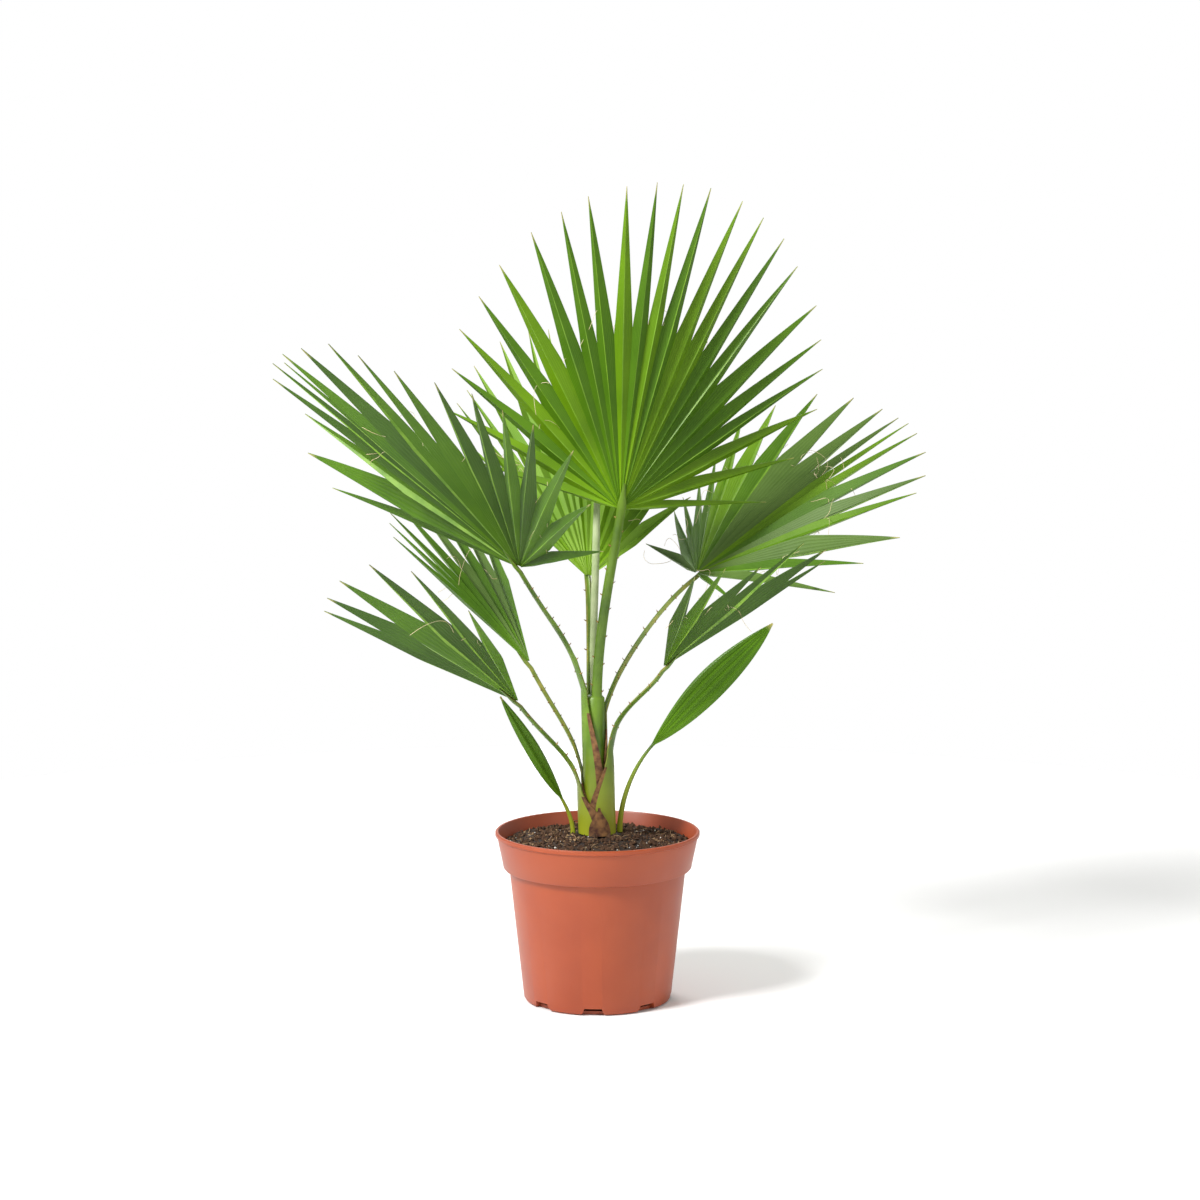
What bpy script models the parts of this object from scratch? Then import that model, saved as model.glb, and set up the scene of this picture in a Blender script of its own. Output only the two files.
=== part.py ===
"""Potted Mexican fan palm: a young plant with seven fan leaves and two strap leaves in a nursery pot.

Metres, +Z up. The photo looks along +Y, with +X to its right.
The origin is the middle of the pot's flat underside, on the pot's axis.
"""
import math
from collections import namedtuple

import bmesh
import bpy
from mathutils import Vector

MM = 0.001
GAP = 0.3 * MM

# The pot: a plastic nursery pot with a lip, a plain band and a tapering body
POT_HEIGHT = 159 * MM
POT_RIM_RADIUS = 95 * MM
POT_LIP_HEIGHT = 4.5 * MM
POT_LIP_PROUD = 1.6 * MM
POT_BAND_BOTTOM = 125 * MM
POT_BAND_FOOT_RADIUS = 87.5 * MM
POT_BODY_TOP_RADIUS = 82 * MM
POT_BODY_FOOT_RADIUS = 68.5 * MM
POT_FOOT_ROUNDING = 3 * MM
POT_WALL = 2 * MM
POT_FLOOR = 3 * MM
POT_STEPS = 56
NOTCHES = 8
NOTCH_WIDTH = 22 * MM
NOTCH_HEIGHT = 6.5 * MM
NOTCH_DEPTH = 6 * MM

# The soil: heaped round the stem, lower along the wall
SOIL_TOP = 157 * MM
SOIL_HEAP_RADIUS = 33 * MM
SOIL_EDGE = 148 * MM

# The stem: the solid heart that the leaf sheaths are wrapped round
STEM_FOOT_X = 0.5 * MM
STEM_TOP_X = -2.5 * MM
STEM_FOOT = SOIL_TOP + GAP
STEM_TOP = 284 * MM
STEM_RADIUS = 9.0 * MM
SHEATH_THICK = 1.5 * MM
STALK_THICK = 3.4 * MM
STALK_ROUND = 4.2 * MM

# Leaf thickness near the middle of a fan and at the tips of its leaflets
BLADE_THICK = 3.2 * MM
TIP_THICK = 1.2 * MM
BLADE_START = 6 * MM
PLEAT = 0.34

GREEN = (0.16, 0.27, 0.05, 1.0)
STALK_GREEN = (0.27, 0.36, 0.07, 1.0)
SPEAR_GREEN = (0.33, 0.40, 0.20, 1.0)
BROWN = (0.10, 0.05, 0.03, 1.0)
SOIL_BROWN = (0.05, 0.032, 0.022, 1.0)
TERRACOTTA = (0.55, 0.22, 0.12, 1.0)

# A fan leaf. hub is where its leaflets meet, in mm. aim is where its middle leaflet points and
# upper is where its upper side faces, each as an angle from +X round to +Y and an angle above level.
# fold lifts its two sides, droop pulls its tips down, and split is how far out the leaflets part.
# leaflets holds each leaflet's spread from the middle in degrees and its length in mm.
Fan = namedtuple("Fan", "hub aim upper fold droop split leaflets")

FANS = {
    "top": Fan((21, -30, 463), (-43, 79), (100, 0), 0.40, 0.15, 0.56, (
        (81, 149), (67, 186), (57, 203), (48, 224), (40, 238), (32, 255), (24, 274), (18, 287),
        (13, 299), (7, 308), (2, 314), (-2, 315), (-7, 316), (-13, 312), (-18, 305), (-24, 297),
        (-29, 283), (-38, 269), (-45, 253), (-51, 240), (-60, 220), (-72, 186), (-86, 155))),
    "back": Fan((-9, 30, 392), (100, 62), (-88, 30), 0.10, 0.10, 0.55, (
        (-40, 140), (-35, 178), (-31, 215), (-26, 222), (-22, 242), (-14, 258), (-8, 264),
        (-4, 262), (1, 260), (7, 257), (14, 245), (21, 222), (30, 192), (41, 164), (54, 125))),
    "left": Fan((-70, -65, 414), (-147, 47), (37, 42), 0.08, 0.10, 0.56, (
        (74, 274), (63, 277), (42, 253), (36, 290), (28, 293), (23, 284), (19, 291), (9, 290),
        (-3, 296), (-9, 283), (-16, 269), (-26, 270), (-34, 277), (-41, 275), (-47, 280),
        (-55, 279), (-64, 207), (-80, 150))),
    "right": Fan((93, 55, 393), (28, 38), (-142, 50), 0.0, 0.20, 0.58, (
        (-83, 108), (-63, 133), (-57, 150), (-50, 171), (-45, 202), (-40, 270), (-32, 274),
        (-23, 281), (-11, 270), (0, 259), (7, 255), (12, 255), (17, 252), (26, 247), (36, 239),
        (41, 228), (57, 219), (66, 192), (79, 182), (100, 96))),
    "left_back": Fan((-63, 30, 312), (150, 42), (-20, 45), 0.10, 0.10, 0.50, (
        (-17, 175), (-9, 190), (-2, 203), (6, 222), (14, 240), (22, 262), (29, 275), (36, 270))),
    "low_left": Fan((-72, -40, 287), (-150, 37), (42, 38), 0.05, 0.10, 0.52, (
        (39, 202), (25, 200), (5, 212), (-14, 240), (-26, 240), (-35, 183))),
    "low_right": Fan((60, -50, 321), (-45, 38), (138, 42), 0.05, 0.10, 0.52, (
        (31, 207), (22, 201), (8, 180), (0, 215), (-17, 196), (-27, 180))),
}

# A stalk with the sheath that wraps the stem. turn is the side of the stem its middle lies on, wrap
# the sheath's outer radius, foot and leave the heights where the sheath begins and where the stalk
# leaves the stem, and spread half the angle that the sheath covers at its foot. width is the
# stalk's width above the sheath and at the hub. tilt is how far from upright it starts, arms how
# stiff its two ends are, and swing turns its upper end from the fan's aim toward a straight line.
Stalk = namedtuple("Stalk", "turn wrap foot leave spread width tilt arms swing")

STALKS = {
    "right": Stalk(25, 10.9, 185, 270, 84, (8.5, 6.0), 15, (0.21, 0.33), -0.6),
    "left": Stalk(-150, 12.8, 175, 292, 96, (10.5, 6.5), 19, (0.39, 0.55), 0.84),
    "left_back": Stalk(168, 14.7, 165, 213, 80, (7.5, 6.0), 13, (0.34, 0.43), 0.93),
    "low_right": Stalk(-32, 16.6, 157.3, 235, 92, (9.5, 5.0), 7, (0.40, 0.35), 1.0),
    "low_left": Stalk(-160, 18.5, 157.3, 201, 92, (10.0, 5.0), 12, (0.29, 0.38), 1.0),
}

# The stalks that rise from the top of the stem: foot in mm, and width at the foot and at the hub
INNER_STALKS = {
    "top": ((-0.2, -7.0), (9.5, 8.5)),
    "back": ((-7.0, 6.6), (6.5, 6.0)),
}

# The youngest leaf, still a closed spear, and the rag of an old sheath at the foot
SPEAR = (((-4.4, -0.2, 284.3), 2.2), ((-4.0, 0, 330), 3.2), ((-1.2, 0, 430), 3.4), ((0, 0, 490), 2.2), ((0.6, 0, 523), 0.7))
OLD_SHEATH = Stalk(-85, 20.4, 157.3, 184, 30, (1.2, 1.2), 0, (0, 0), 0)

# The two undivided first leaves. soil is the stalk's foot and foot and tip the blade's ends, in mm.
Strap = namedtuple("Strap", "soil foot tip upper width folds fullest bend stalk")

STRAPS = {
    "leaf_left": Strap((-22.8, -6, 157.3), (-32, -10, 190), (-88, -60, 295), (-70, 25), 15, 2, 0.9, 2, (4.5, 2.6)),
    "leaf_right": Strap((20.6, 3, 157.3), (50, 5, 238), (163, 30, 349), (-110, 25), 31, 4, 1.0, 4, (5.5, 2.8)),
}


def direction(turn, height):
    """The unit vector at an angle from +X round to +Y and an angle above level, in degrees."""
    turn, height = math.radians(turn), math.radians(height)
    return Vector((math.cos(height) * math.cos(turn), math.cos(height) * math.sin(turn), math.sin(height)))


def mix(a, b, t):
    return a + (b - a) * t


def smooth(t):
    t = min(max(t, 0.0), 1.0)
    return t * t * (3 - 2 * t)


def make_material(name, color, roughness):
    material = bpy.data.materials.new(name)
    material.use_nodes = True
    shader = material.node_tree.nodes["Principled BSDF"]
    shader.inputs["Base Color"].default_value = color
    shader.inputs["Roughness"].default_value = roughness
    material.diffuse_color = color
    return material


def add_object(name, mesh, material, smooth_faces=False):
    mesh.materials.append(material)
    for face in mesh.polygons:
        face.use_smooth = smooth_faces
    obj = bpy.data.objects.new(name, mesh)
    bpy.context.collection.objects.link(obj)
    return obj


def mesh_from(name, points, faces):
    """A closed mesh with its faces turned outward."""
    mesh = bpy.data.meshes.new(name)
    mesh.from_pydata(points, [], faces)
    bm = bmesh.new()
    bm.from_mesh(mesh)
    bmesh.ops.recalc_face_normals(bm, faces=bm.faces)
    bm.to_mesh(mesh)
    bm.free()
    return mesh


def thick_sheet(name, upper, lower, faces):
    """Close a sheet into a solid: its upper points, the matching lower points and the upper faces."""
    count = len(upper)
    seen = {}
    for face in faces:
        for a, b in zip(face, face[1:] + face[:1]):
            seen[(a, b)] = True
    solid = [tuple(face) for face in faces]
    solid += [tuple(count + i for i in reversed(face)) for face in faces]
    solid += [(b, a, count + a, count + b) for a, b in seen if (b, a) not in seen]
    return mesh_from(name, upper + lower, solid)


class Surface:
    """The surface that a fan's leaflets lie in."""

    def __init__(self, fan):
        self.hub = Vector(fan.hub) * MM
        self.aim = direction(*fan.aim)
        upper = direction(*fan.upper)
        self.upper = (upper - upper.dot(self.aim) * self.aim).normalized()
        self.side = self.aim.cross(self.upper)
        self.fold = fan.fold
        self.droop = fan.droop

    def point(self, spread, reach):
        s, c = math.sin(math.radians(spread)), math.cos(math.radians(spread))
        lift = self.fold * (math.sqrt(s * s + 0.01) - 0.1)
        out = (c * self.aim + s * self.side + lift * self.upper).normalized()
        return self.hub + reach * out - Vector((0, 0, self.droop * reach * reach))

    def across(self, spread, reach):
        return (self.point(spread + 0.5, reach) - self.point(spread - 0.5, reach)).normalized()

    def normal(self, spread, reach):
        out = self.point(spread, reach + MM) - self.point(spread, reach)
        return self.across(spread, reach).cross(out).normalized()


def split_share(fan, spread):
    """How far out two leaflets part, as a share of their length: least at the fan's sides."""
    return max(fan.split - 0.38 * abs(spread / 85) ** 3.5, 0.14)


def fan_blade(name, fan):
    """One fan: pleated and whole near the hub, then parted into tapering leaflets."""
    surface = Surface(fan)
    spreads = [leaf[0] for leaf in fan.leaflets]
    lengths = [leaf[1] * MM for leaf in fan.leaflets]
    turn = 1 if spreads[-1] > spreads[0] else -1
    edges = [(a + b) / 2 for a, b in zip(spreads, spreads[1:])]
    edges = [2 * spreads[0] - edges[0]] + edges + [2 * spreads[-1] - edges[-1]]
    reach = [lengths[0]] + [(a + b) / 2 for a, b in zip(lengths, lengths[1:])] + [lengths[-1]]
    splits = [length * split_share(fan, edge) for length, edge in zip(reach, edges)]
    upper, lower, faces = [], [], []

    def add(spread, radius, raised, shift=0.0, thick=BLADE_THICK):
        normal = surface.normal(spread, radius)
        point = surface.point(spread, radius) + raised * normal + shift * surface.across(spread, radius)
        upper.append(point + thick / 2 * normal)
        lower.append(point - thick / 2 * normal)
        return len(upper) - 1

    def pleat_depth(i, radius):
        return PLEAT * radius * math.radians(abs(edges[i + 1] - edges[i])) / 2

    rows = []
    for i, edge in enumerate(edges):
        near = min(i, len(spreads) - 1)
        rows.append([add(edge, radius, pleat_depth(near, radius) / 2)
                     for radius in (BLADE_START, splits[i] * 0.5, splits[i])])
    for i, spread in enumerate(spreads):
        left, right = rows[i], rows[i + 1]
        split = (splits[i] + splits[i + 1]) / 2
        rib = [add(spread, radius, -pleat_depth(i, radius) / 2) for radius in (BLADE_START, split * 0.5, split)]
        half = split * math.radians(abs(edges[i + 1] - edges[i])) / 2
        left, right = list(left), list(right)
        for share in (0.4, 0.75):
            radius = mix(split, lengths[i], share)
            wide = half * (1 - share) ** 0.9
            thick = mix(BLADE_THICK, TIP_THICK, share)
            left.append(add(spread, radius, PLEAT * wide / 2, -turn * wide, thick))
            right.append(add(spread, radius, PLEAT * wide / 2, turn * wide, thick))
            rib.append(add(spread, radius, -PLEAT * wide / 2, 0.0, thick))
        for k in range(4):
            faces.append([left[k], left[k + 1], rib[k + 1], rib[k]])
            faces.append([rib[k], rib[k + 1], right[k + 1], right[k]])
        tip = add(spread, lengths[i], 0.0, 0.0, TIP_THICK)
        faces.append([left[4], tip, rib[4]])
        faces.append([rib[4], tip, right[4]])
    return thick_sheet(name, upper, lower, faces)


def strap_blade(name, strap):
    """An undivided first leaf: a pleated blade, pointed at both ends, that bows by its bend."""
    foot, tip = Vector(strap.foot) * MM, Vector(strap.tip) * MM
    aim = (tip - foot).normalized()
    normal = direction(*strap.upper)
    normal = (normal - normal.dot(aim) * aim).normalized()
    side = aim.cross(normal)
    rows, columns = 12, 2 * strap.folds
    top, under, faces = [], [], []
    for r in range(rows + 1):
        t = r / rows
        shape = math.sin(math.pi * t ** strap.fullest) ** 0.8
        half = max(strap.width * MM / 2 * shape, 1.2 * MM)
        centre = foot.lerp(tip, t) + normal * strap.bend * MM * math.sin(math.pi * t) ** 2
        thick = mix(2.2 * MM, TIP_THICK, t)
        for c in range(columns + 1):
            x = 2 * c / columns - 1
            raised = (0.5 if c % 2 else -0.5) * 0.5 * half * 2 / columns
            point = centre + side * half * x + normal * raised
            top.append(point + normal * thick / 2)
            under.append(point - normal * thick / 2)
    for r in range(rows):
        for c in range(columns):
            a = r * (columns + 1) + c
            faces.append([a, a + 1, a + columns + 2, a + columns + 1])
    return thick_sheet(name, top, under, faces)


def bezier(points, t):
    a, b, c, d = points
    s = 1 - t
    return s ** 3 * a + 3 * s * s * t * b + 3 * s * t * t * c + t ** 3 * d


def loft(name, sections):
    """A closed limb through a list of rings that all have the same number of points."""
    count = len(sections[0])
    points = [p for ring in sections for p in ring]
    faces = []
    for r in range(len(sections) - 1):
        for i in range(count):
            j = (i + 1) % count
            faces.append((r * count + i, r * count + j, (r + 1) * count + j, (r + 1) * count + i))
    last = (len(sections) - 1) * count
    half = count // 2
    for k in range(half - 1):
        faces.append((k, count - 1 - k, count - 2 - k, k + 1))
        faces.append((last + k, last + k + 1, last + count - 2 - k, last + count - 1 - k))
    return mesh_from(name, points, faces)


def crescent(middle, outward, side, radius, half_angle, thick, steps=12):
    """A ring shaped like the section of a stalk or sheath, round a point radius inward of its middle."""
    centre = middle - outward * radius
    angles = [half_angle * (2 * k / steps - 1) for k in range(steps + 1)]
    outer = [centre + radius * (math.cos(a) * outward + math.sin(a) * side) for a in angles]
    inner = [centre + (radius - thick) * (math.cos(a) * outward + math.sin(a) * side) for a in reversed(angles)]
    return outer + inner


def stem_axis(height):
    """The middle of the stem at a height: it leans a little to the left."""
    share = (height - STEM_FOOT) / (STEM_TOP - STEM_FOOT)
    return Vector((mix(STEM_FOOT_X, STEM_TOP_X, share), 0, height))


def stalk_rings(path, widths, radius_at, thick_at, outward, steps):
    """Rings along a stalk's curve, each as wide as the stalk is there."""
    rings = []
    for k in range(1, steps + 1):
        t = k / steps
        here = bezier(path, t)
        along = (bezier(path, min(t + 0.01, 1.0)) - bezier(path, t - 0.01)).normalized()
        face = (outward(t) - outward(t).dot(along) * along).normalized()
        radius = radius_at(t)
        half = mix(widths[0], widths[1], t) * MM / 2
        angle = math.asin(min(half / radius, 0.95))
        rings.append(crescent(here, face, face.cross(along), radius, angle, thick_at(t)))
    return rings


def costa(surface, radius, width):
    """Where a stalk ends, close under its fan: the last two ring middles and the last ring."""
    half = width * MM / 2
    angle = math.asin(half / radius)
    drop = BLADE_THICK / 2 + 1.5 * GAP + radius - (radius - STALK_THICK) * math.cos(angle)
    near = surface.hub - surface.aim * 4 * MM - surface.upper * drop
    far = surface.hub + surface.aim * 10 * MM - surface.upper * drop
    ring = crescent(far, -surface.upper, (-surface.upper).cross(surface.aim), radius, angle, STALK_THICK)
    return near, ring


def sheath_rings(stalk, narrow, steps=7):
    """Rings of a sheath: they wrap the stem at the foot and narrow to the stalk."""
    outward = direction(stalk.turn, 0)
    side = outward.cross(Vector((0, 0, 1)))
    wrap = stalk.wrap * MM
    rings = []
    for k in range(steps):
        t = k / (steps - 1)
        middle = stem_axis(mix(stalk.foot, stalk.leave, t) * MM) + outward * wrap
        half = mix(math.radians(stalk.spread), narrow, smooth(t ** 1.5))
        rings.append(crescent(middle, outward, side, wrap, half, SHEATH_THICK))
    return rings


def sheathed_stalk(name, stalk, fan):
    """A sheath wrapped round the stem that narrows into a stalk and runs out to its fan."""
    surface = Surface(fan)
    outward = direction(stalk.turn, 0)
    wrap = stalk.wrap * MM
    rings = sheath_rings(stalk, math.asin(stalk.width[0] / 2 / stalk.wrap))
    start = stem_axis(stalk.leave * MM) + outward * wrap
    finish, last = costa(surface, STALK_ROUND, stalk.width[1])
    length = (finish - start).length
    ending = surface.aim.lerp((finish - start).normalized(), stalk.swing).normalized()
    path = (start, start + direction(stalk.turn, 90 - stalk.tilt) * length * stalk.arms[0],
            finish - ending * length * stalk.arms[1], finish)
    rings += stalk_rings(
        path, stalk.width,
        lambda t: mix(wrap, STALK_ROUND, smooth(t * 3.5)),
        lambda t: mix(SHEATH_THICK, STALK_THICK, smooth(t * 3 - 0.3)),
        lambda t: outward.lerp(-surface.upper, smooth(t * 1.6)), 9)
    return loft(name, rings + [last])


def inner_stalk(name, foot, widths, fan):
    """A young leaf's stalk, which rises from the top of the stem."""
    surface = Surface(fan)
    radius = 6.5 * MM
    start = Vector((foot[0] * MM, foot[1] * MM, STEM_TOP + GAP))
    finish, last = costa(surface, radius, widths[1])
    length = (finish - start).length
    path = (start, start + Vector((0, 0, 1)) * length * 0.35, finish - surface.aim * length * 0.2, finish)
    outward = -surface.upper
    flat = (outward - Vector((0, 0, outward.z))).normalized()
    angle = math.asin(widths[0] * MM / 2 / radius)
    first = crescent(start, flat, flat.cross(Vector((0, 0, 1))), radius, angle, STALK_THICK)
    rings = stalk_rings(path, widths, lambda t: radius, lambda t: STALK_THICK, lambda t: outward, 9)
    return loft(name, [first] + rings + [last])


def strap_stalk(name, strap):
    """The short stalk of an undivided leaf, from the soil to the foot of its blade."""
    start, foot = Vector(strap.soil) * MM, Vector(strap.foot) * MM
    aim = (Vector(strap.tip) * MM - foot).normalized()
    upper = direction(*strap.upper)
    upper = (upper - upper.dot(aim) * aim).normalized()
    finish = foot - aim * 1.3 * GAP - upper * 1.0 * MM
    length = (finish - start).length
    path = (start, start + Vector((0, 0, 1)) * length * 0.35, finish - aim * length * 0.3, finish)
    outward = -upper
    flat = (outward - Vector((0, 0, outward.z))).normalized()
    radius = 3.4 * MM
    angle = math.asin(min(strap.stalk[0] * MM / 2 / radius, 0.9))
    first = crescent(start, flat, flat.cross(Vector((0, 0, 1))), radius, angle, 2.2 * MM, 8)
    rings = [first]
    for k in range(1, 7):
        t = k / 6
        here = bezier(path, t)
        along = aim if k == 6 else (bezier(path, t + 0.01) - bezier(path, t - 0.01)).normalized()
        face = (outward - outward.dot(along) * along).normalized()
        angle = math.asin(min(mix(strap.stalk[0], strap.stalk[1], t) * MM / 2 / radius, 0.9))
        rings.append(crescent(here, face, face.cross(along), radius, angle, mix(2.2, 2.0, t) * MM, 8))
    return loft(name, rings)


def pot(material):
    """The pot, spun from its profile and notched round the foot."""
    inner = POT_WALL
    slope = (POT_BODY_TOP_RADIUS - POT_BODY_FOOT_RADIUS) / POT_BAND_BOTTOM
    profile = [
        (0.0, 0.0), (POT_BODY_FOOT_RADIUS - POT_FOOT_ROUNDING, 0.0),
        (POT_BODY_FOOT_RADIUS - POT_FOOT_ROUNDING * 0.3, POT_FOOT_ROUNDING * 0.3),
        (POT_BODY_FOOT_RADIUS + slope * POT_FOOT_ROUNDING, POT_FOOT_ROUNDING),
        (POT_BODY_TOP_RADIUS, POT_BAND_BOTTOM - 1.5 * MM),
        (POT_BAND_FOOT_RADIUS - 1 * MM, POT_BAND_BOTTOM - 0.6 * MM), (POT_BAND_FOOT_RADIUS, POT_BAND_BOTTOM + 0.6 * MM),
        (POT_RIM_RADIUS - POT_LIP_PROUD, POT_HEIGHT - POT_LIP_HEIGHT), (POT_RIM_RADIUS, POT_HEIGHT - POT_LIP_HEIGHT + 0.8 * MM),
        (POT_RIM_RADIUS, POT_HEIGHT - 1 * MM), (POT_RIM_RADIUS - 1 * MM, POT_HEIGHT),
        (POT_RIM_RADIUS - 2.6 * MM, POT_HEIGHT), (POT_RIM_RADIUS - 3.4 * MM, POT_HEIGHT - 1.2 * MM),
        (POT_BAND_FOOT_RADIUS - inner, POT_BAND_BOTTOM), (POT_BODY_TOP_RADIUS - inner, POT_BAND_BOTTOM - 3 * MM),
        (POT_BODY_FOOT_RADIUS - inner - 1 * MM, POT_FLOOR + 2 * MM), (POT_BODY_FOOT_RADIUS - inner - 3 * MM, POT_FLOOR),
        (0.0, POT_FLOOR)]
    bm = bmesh.new()
    verts = [bm.verts.new((x, 0, z)) for x, z in profile]
    edges = [bm.edges.new(pair) for pair in zip(verts, verts[1:])]
    bmesh.ops.spin(bm, geom=verts + edges, cent=(0, 0, 0), axis=(0, 0, 1), angle=2 * math.pi, steps=POT_STEPS)
    bmesh.ops.remove_doubles(bm, verts=bm.verts, dist=0.01 * MM)
    bmesh.ops.recalc_face_normals(bm, faces=bm.faces)
    mesh = bpy.data.meshes.new("pot")
    bm.to_mesh(mesh)
    bm.free()
    body = add_object("pot", mesh, material, True)

    cutter = bpy.data.meshes.new("pot_notches")
    bm = bmesh.new()
    for k in range(NOTCHES):
        turn = -math.pi / 2 + 2 * math.pi * k / NOTCHES - 0.06
        outward = Vector((math.cos(turn), math.sin(turn), 0))
        side = Vector((-math.sin(turn), math.cos(turn), 0))
        ring = []
        for radius in (POT_BODY_FOOT_RADIUS - NOTCH_DEPTH, POT_BODY_FOOT_RADIUS + 4 * MM):
            for x, z in ((-0.5, -1 * MM), (0.5, -1 * MM), (0.36, NOTCH_HEIGHT), (-0.36, NOTCH_HEIGHT)):
                ring.append(bm.verts.new(outward * radius + side * x * NOTCH_WIDTH + Vector((0, 0, z))))
        a, b = ring[:4], ring[4:]
        bm.faces.new(a)
        bm.faces.new(b)
        for i in range(4):
            bm.faces.new((a[i], a[(i + 1) % 4], b[(i + 1) % 4], b[i]))
    bmesh.ops.recalc_face_normals(bm, faces=bm.faces)
    bm.to_mesh(cutter)
    bm.free()
    tool = bpy.data.objects.new("pot_notches", cutter)
    bpy.context.collection.objects.link(tool)
    tool.hide_render = True
    tool.display_type = "WIRE"
    cut = body.modifiers.new("notches", "BOOLEAN")
    cut.operation = "DIFFERENCE"
    cut.solver = "EXACT"
    cut.object = tool


def soil(material):
    """The soil that fills the pot, flat where the stem stands and lower along the wall."""
    def wall(height):
        share = (height - POT_FLOOR) / (POT_BAND_BOTTOM - POT_FLOOR)
        return mix(POT_BODY_FOOT_RADIUS - 2 * POT_WALL, POT_BODY_TOP_RADIUS - POT_WALL, share) - GAP - 0.6 * MM
    base = POT_FLOOR + GAP
    profile = [(0.0, base), (POT_BODY_FOOT_RADIUS - POT_WALL - 4 * MM, base),
               (wall(12 * MM), 12 * MM), (POT_BODY_TOP_RADIUS - POT_WALL - 4 * GAP, POT_BAND_BOTTOM - 4 * MM),
               (POT_BAND_FOOT_RADIUS - POT_WALL - 4 * GAP, POT_BAND_BOTTOM + 2 * MM),
               (POT_RIM_RADIUS - 7 * MM, SOIL_EDGE - 1.5 * MM), (POT_RIM_RADIUS - 14 * MM, SOIL_EDGE),
               (mix(SOIL_HEAP_RADIUS, POT_RIM_RADIUS, 0.4), mix(SOIL_EDGE, SOIL_TOP, 0.55)),
               (SOIL_HEAP_RADIUS, SOIL_TOP), (0.0, SOIL_TOP)]
    bm = bmesh.new()
    verts = [bm.verts.new((x, 0, z)) for x, z in profile]
    edges = [bm.edges.new(pair) for pair in zip(verts, verts[1:])]
    bmesh.ops.spin(bm, geom=verts + edges, cent=(0, 0, 0), axis=(0, 0, 1), angle=2 * math.pi, steps=36)
    bmesh.ops.remove_doubles(bm, verts=bm.verts, dist=0.01 * MM)
    bmesh.ops.recalc_face_normals(bm, faces=bm.faces)
    mesh = bpy.data.meshes.new("soil")
    bm.to_mesh(mesh)
    bm.free()
    add_object("soil", mesh, material, True)


def tapered_limb(name, stations, sides=12):
    """A round limb through (centre, radius) stations, stacked upward."""
    points, faces = [], []
    for centre, radius in stations:
        for k in range(sides):
            a = 2 * math.pi * k / sides
            points.append(Vector(centre) + Vector((radius * math.cos(a), radius * math.sin(a), 0)))
    for r in range(len(stations) - 1):
        for k in range(sides):
            j = (k + 1) % sides
            faces.append((r * sides + k, r * sides + j, (r + 1) * sides + j, (r + 1) * sides + k))
    faces.append(tuple(range(sides)))
    faces.append(tuple((len(stations) - 1) * sides + k for k in range(sides)))
    return mesh_from(name, points, faces)


def main():
    for obj in list(bpy.data.objects):
        bpy.data.objects.remove(obj, do_unlink=True)
    plastic = make_material("pot_plastic", TERRACOTTA, 0.45)
    earth = make_material("soil", SOIL_BROWN, 0.95)
    leaf = make_material("leaf", GREEN, 0.45)
    stalk = make_material("stalk", STALK_GREEN, 0.5)
    young = make_material("young_leaf", SPEAR_GREEN, 0.55)
    dead = make_material("dry_sheath", BROWN, 0.8)
    pot(plastic)
    soil(earth)
    stem = [(stem_axis(height), STEM_RADIUS) for height in (STEM_FOOT, STEM_TOP)]
    add_object("stem", tapered_limb("stem", stem, 24), stalk, True)
    for name, fan in FANS.items():
        add_object("frond_" + name, fan_blade("frond_" + name, fan), leaf)
    for name, spec in STALKS.items():
        add_object("stalk_" + name, sheathed_stalk("stalk_" + name, spec, FANS[name]), stalk, True)
    for name, (foot, widths) in INNER_STALKS.items():
        add_object("stalk_" + name, inner_stalk("stalk_" + name, foot, widths, FANS[name]), stalk, True)
    for name, strap in STRAPS.items():
        add_object(name, strap_blade(name, strap), leaf)
        add_object("stalk_" + name, strap_stalk("stalk_" + name, strap), stalk, True)
    spear = [(Vector(centre) * MM, radius * MM) for centre, radius in SPEAR]
    add_object("spear", tapered_limb("spear", spear, 10), young, True)
    old = loft("old_sheath", sheath_rings(OLD_SHEATH, math.radians(3)))
    add_object("old_sheath", old, dead, True)


main()
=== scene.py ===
"""Potted Mexican fan palm: leaflets, stalks, sheaths, threads, soil and pot, in metres with +Z up."""
import math
import random
from collections import namedtuple

import bmesh
import bpy
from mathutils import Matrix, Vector, noise


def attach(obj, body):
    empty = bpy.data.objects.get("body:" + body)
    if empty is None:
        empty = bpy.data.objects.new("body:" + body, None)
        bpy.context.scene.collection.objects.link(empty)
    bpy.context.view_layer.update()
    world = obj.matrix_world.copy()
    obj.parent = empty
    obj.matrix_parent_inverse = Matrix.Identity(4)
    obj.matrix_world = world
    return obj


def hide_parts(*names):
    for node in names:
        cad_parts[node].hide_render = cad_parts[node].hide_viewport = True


MM = 0.001
GAP = 0.3 * MM

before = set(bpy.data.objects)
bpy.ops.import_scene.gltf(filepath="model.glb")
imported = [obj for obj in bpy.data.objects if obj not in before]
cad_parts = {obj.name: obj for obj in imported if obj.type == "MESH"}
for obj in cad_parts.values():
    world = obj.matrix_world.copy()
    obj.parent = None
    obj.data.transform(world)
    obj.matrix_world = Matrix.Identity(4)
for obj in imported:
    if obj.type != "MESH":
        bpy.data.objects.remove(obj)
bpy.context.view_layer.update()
rng = random.Random(7)

# The pot
POT_HEIGHT = 159 * MM
POT_RIM_RADIUS = 95 * MM
POT_LIP_HEIGHT = 4.5 * MM
POT_LIP_PROUD = 1.6 * MM
POT_BAND_BOTTOM = 125 * MM
POT_BAND_FOOT_RADIUS = 87.5 * MM
POT_BODY_TOP_RADIUS = 82 * MM
POT_BODY_FOOT_RADIUS = 68.5 * MM
POT_FOOT_ROUNDING = 3 * MM
POT_WALL = 2 * MM
POT_FLOOR = 3 * MM
POT_SIDES = 160

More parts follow.
